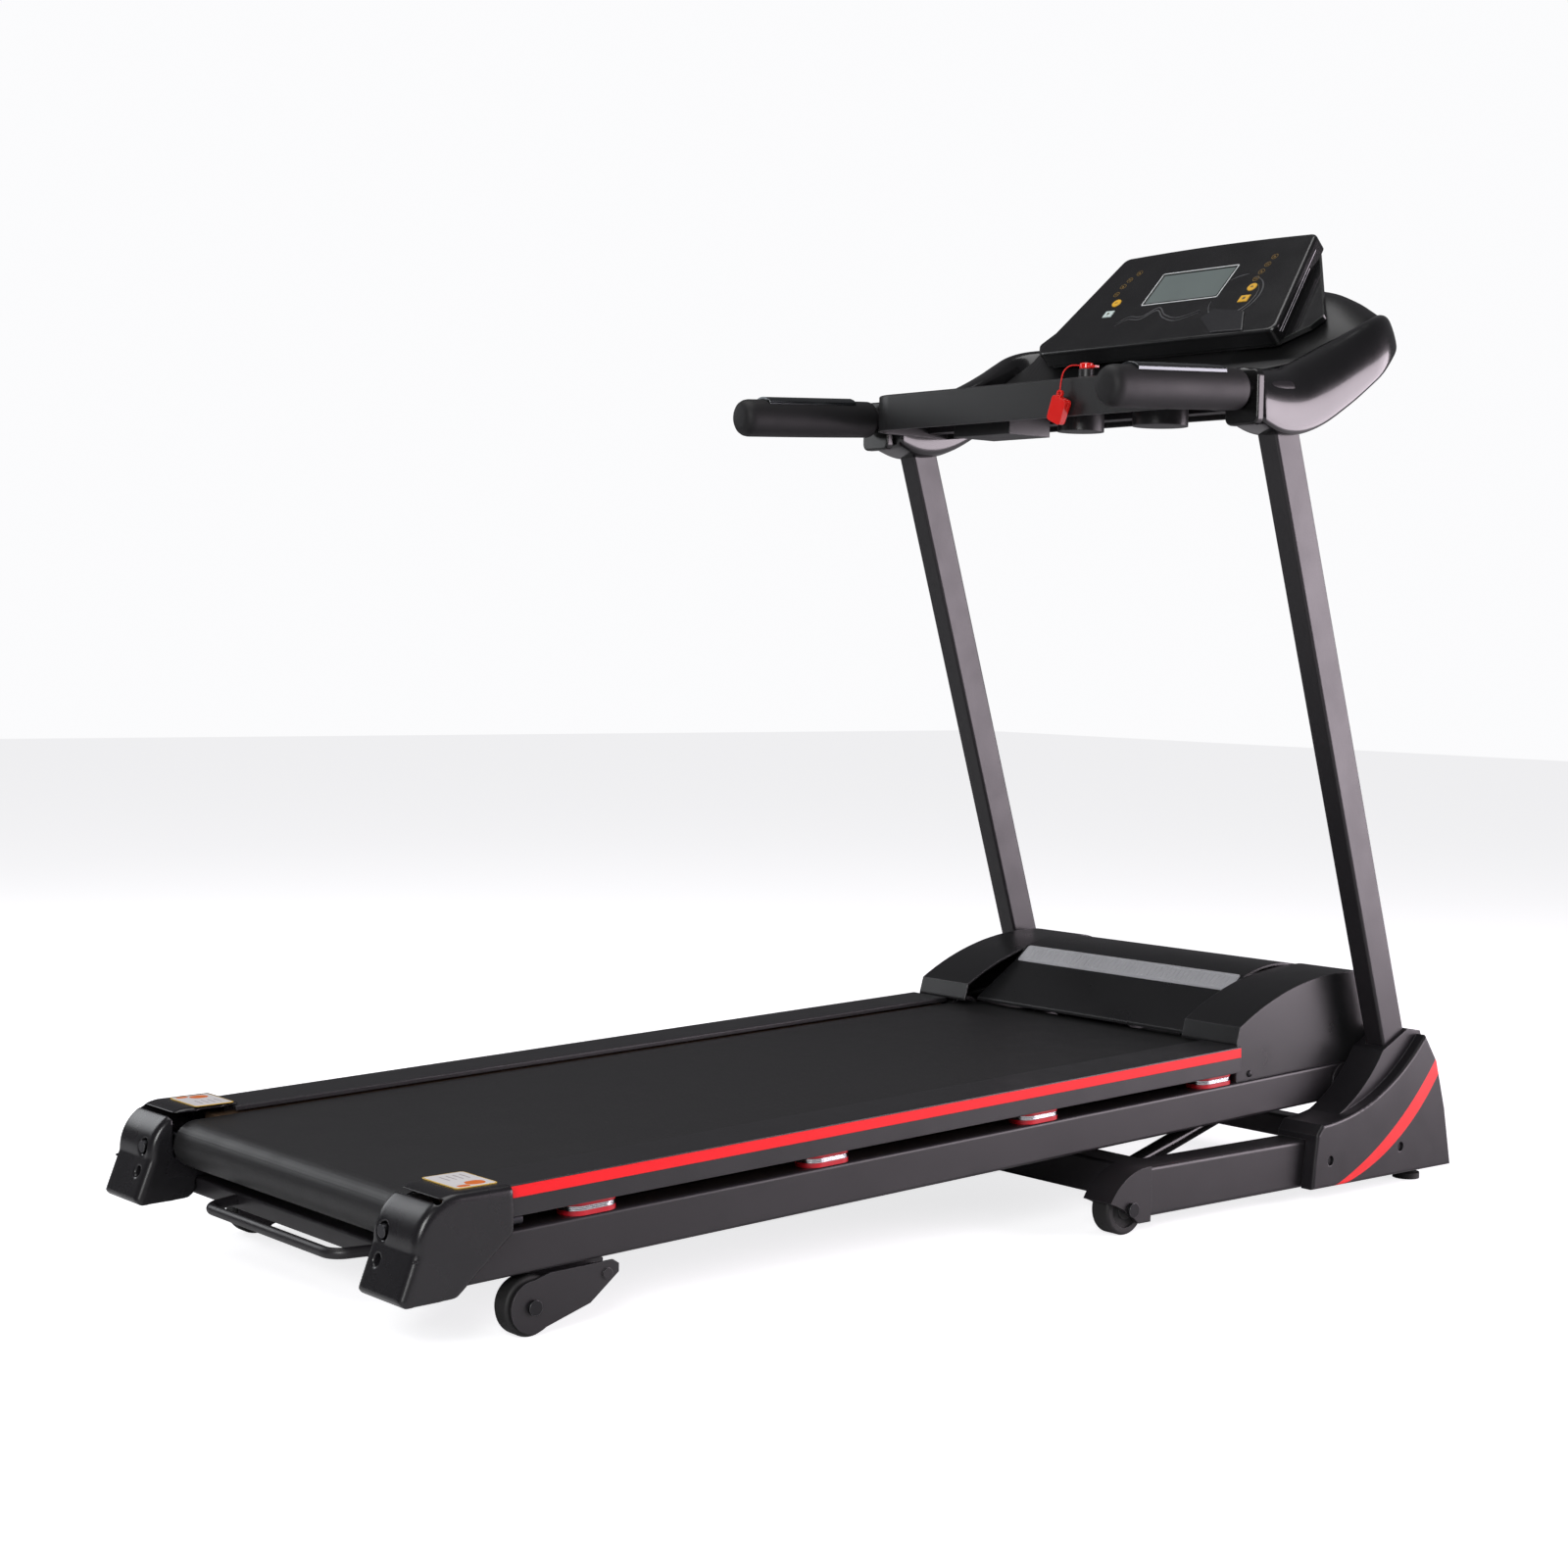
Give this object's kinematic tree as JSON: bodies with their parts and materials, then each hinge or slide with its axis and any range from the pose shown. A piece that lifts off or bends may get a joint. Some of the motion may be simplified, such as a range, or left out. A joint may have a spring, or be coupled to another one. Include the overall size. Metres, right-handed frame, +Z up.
{
  "type": "treadmill",
  "caption": "Folding motorised treadmill with cushioned deck, leaning uprights, foam handles, tilted console, gas strut, rear leg wheels and a pull-out safety key.",
  "frame": {"origin": "on the floor, under the middle of the whole machine's box", "axes": "+X to the runner's right, +Y towards the console, +Z up"},
  "size_m": [0.74, 1.644, 1.2934],
  "materials": {
    "frame_steel": "satin powder coat",
    "cover_plastic": "satin",
    "rail_plastic": "fine ribs, satin",
    "cap_plastic": "satin",
    "foam": "matte foam",
    "gloss_black": "gloss",
    "tyre_rubber": "matte",
    "foot_rubber": "matte",
    "black_bolt": "black oxide",
    "strut_paint": "gloss",
    "bright_rod": "polished",
    "board_wood": "waxed",
    "belt_rubber": "fine texture",
    "stripe_red": "satin",
    "cushion_red": "satin",
    "ring_chrome": "polished",
    "roller_steel": "turned",
    "motor_grey": "satin",
    "rotor_steel": "turned",
    "drive_belt_rubber": "matte",
    "circuit_green": "satin",
    "hood_plastic": "satin",
    "strip_silver": "ribbed, satin",
    "switch_red": "gloss",
    "handle_steel": "satin",
    "pulse_metal": "polished",
    "tray_plastic": "satin",
    "pod_plastic": "semi gloss",
    "screen_glass": "clear over grey liquid crystal",
    "key_white": "satin",
    "key_gold": "satin",
    "key_red": "gloss",
    "cord_red": "braided"
  },
  "bodies": {
    "base": {"base_tube_left": "frame_steel", "base_tube_right": "frame_steel", "base_cross_tubes": "frame_steel", "side_cover_left": "cover_plastic", "side_cover_right": "cover_plastic", "levelling_feet": "foot_rubber", "base_bolts": "black_bolt", "upright_left": "frame_steel", "upright_right": "frame_steel", "handle_tubes": "handle_steel", "grip_left": "foam", "grip_right": "foam", "pulse_plates": "pulse_metal", "console_arm_left": "gloss_black", "console_arm_right": "gloss_black", "tray": "tray_plastic", "dash": "tray_plastic", "pod_front": "pod_plastic", "pod_back": "pod_plastic", "screen_window": "screen_glass", "console_board": "circuit_green"},
    "deck": {"frame_beam_left": "frame_steel", "frame_beam_right": "frame_steel", "deck_cross_tubes": "frame_steel", "lift_loop": "frame_steel", "walking_board": "board_wood", "running_belt": "belt_rubber", "side_rail_left": "rail_plastic", "side_rail_right": "rail_plastic", "rail_stripes": "stripe_red", "cushion_blocks": "cushion_red", "cushion_rings": "ring_chrome", "end_cap_left": "cap_plastic", "end_cap_right": "cap_plastic", "roller_axles": "roller_steel", "drive_motor": "motor_grey", "drive_belt": "drive_belt_rubber", "controller_board": "circuit_green", "motor_hood": "hood_plastic", "vent_strip": "strip_silver"},
    "transport_wheel_right": {"transport_wheel_right": "tyre_rubber"},
    "transport_wheel_left": {"transport_wheel_left": "tyre_rubber"},
    "leg": {"incline_leg": "frame_steel", "leg_axles": "black_bolt"},
    "leg_wheel_right": {"leg_wheel_right": "tyre_rubber"},
    "leg_wheel_left": {"leg_wheel_left": "tyre_rubber"},
    "front_roller": {"front_roller": "roller_steel"},
    "rear_roller": {"rear_roller": "roller_steel"},
    "motor_rotor": {"motor_rotor": "rotor_steel"},
    "strut_cylinder": {"strut_cylinder": "strut_paint"},
    "strut_rod": {"strut_rod": "bright_rod"},
    "power_switch": {"power_switch": "switch_red"},
    "start_key": {"start_key": "key_white"},
    "mode_key": {"mode_key": "key_gold"},
    "stop_key": {"stop_key": "key_gold"},
    "speed_key": {"speed_key": "key_gold"},
    "safety_key": {"safety_key": "key_red", "safety_cord": "cord_red", "safety_clip": "key_red"}
  },
  "joints": [
    {"name": "fold", "type": "hinge", "parent": "base", "child": "deck", "pos_m": [0, 0.668, 0.141], "axis": [-1, 0, 0], "range_deg": [0, 65]},
    {"name": "strut_swing", "type": "hinge", "parent": "base", "child": "strut_cylinder", "pos_m": [0.23, 0.32, 0.05], "axis": [1, 0, 0], "range_deg": [-0.5, 9.18]},
    {"name": "strut_slide", "type": "slide", "parent": "strut_cylinder", "child": "strut_rod", "axis": [0, 0.961, 0.2765], "range_m": [-0.001, 0.0493]},
    {"name": "leg_swing", "type": "hinge", "parent": "deck", "child": "leg", "pos_m": [0, -0.556, 0.054], "axis": [1, 0, 0], "range_deg": [0, 25]},
    {"name": "leg_wheel_right_spin", "type": "hinge", "parent": "leg", "child": "leg_wheel_right", "pos_m": [0.285, -0.648, 0.032], "axis": [1, 0, 0], "continuous": true},
    {"name": "leg_wheel_left_spin", "type": "hinge", "parent": "leg", "child": "leg_wheel_left", "pos_m": [-0.285, -0.648, 0.032], "axis": [1, 0, 0], "continuous": true},
    {"name": "transport_wheel_right_spin", "type": "hinge", "parent": "base", "child": "transport_wheel_right", "pos_m": [0.327, 0.198, 0.033], "axis": [1, 0, 0], "continuous": true},
    {"name": "transport_wheel_left_spin", "type": "hinge", "parent": "base", "child": "transport_wheel_left", "pos_m": [-0.327, 0.198, 0.033], "axis": [1, 0, 0], "continuous": true},
    {"name": "front_roller_spin", "type": "hinge", "parent": "deck", "child": "front_roller", "pos_m": [0, 0.48591, 0.17224], "axis": [1, 0, 0], "continuous": true},
    {"name": "rear_roller_spin", "type": "hinge", "parent": "deck", "child": "rear_roller", "pos_m": [0, -0.75022, 0.12611], "axis": [1, 0, 0], "continuous": true},
    {"name": "motor_spin", "type": "hinge", "parent": "deck", "child": "motor_rotor", "pos_m": [0, 0.67282, 0.20523], "axis": [1, 0, 0], "continuous": true},
    {"name": "power_rocker", "type": "hinge", "parent": "deck", "child": "power_switch", "pos_m": [0.175, 0.7525, 0.2025], "axis": [-1, 0, 0], "range_deg": [0, 14]},
    {"name": "start_press", "type": "slide", "parent": "base", "child": "start_key", "axis": [0, 0.7242, -0.6896], "range_m": [0, 0.0008], "stiffness_N_per_m": 600, "springref_m": -0.0008},
    {"name": "mode_press", "type": "slide", "parent": "base", "child": "mode_key", "axis": [0, 0.7242, -0.6896], "range_m": [0, 0.0008], "stiffness_N_per_m": 600, "springref_m": -0.0008},
    {"name": "stop_press", "type": "slide", "parent": "base", "child": "stop_key", "axis": [0, 0.7242, -0.6896], "range_m": [0, 0.0008], "stiffness_N_per_m": 600, "springref_m": -0.0008},
    {"name": "speed_press", "type": "slide", "parent": "base", "child": "speed_key", "axis": [0, 0.7242, -0.6896], "range_m": [0, 0.0008], "stiffness_N_per_m": 600, "springref_m": -0.0008},
    {"name": "safety_key_pull", "type": "slide", "parent": "base", "child": "safety_key", "axis": [0, 0, 1], "range_m": [0, 0.04]}
  ],
  "couplings": [
    {"joint": "strut_swing", "follows": "fold", "ratio": 0.13359},
    {"joint": "strut_slide", "follows": "fold", "m_per_rad": 0.042571},
    {"joint": "rear_roller_spin", "follows": "front_roller_spin", "ratio": 1},
    {"joint": "motor_spin", "follows": "front_roller_spin", "ratio": 1.8333}
  ]
}
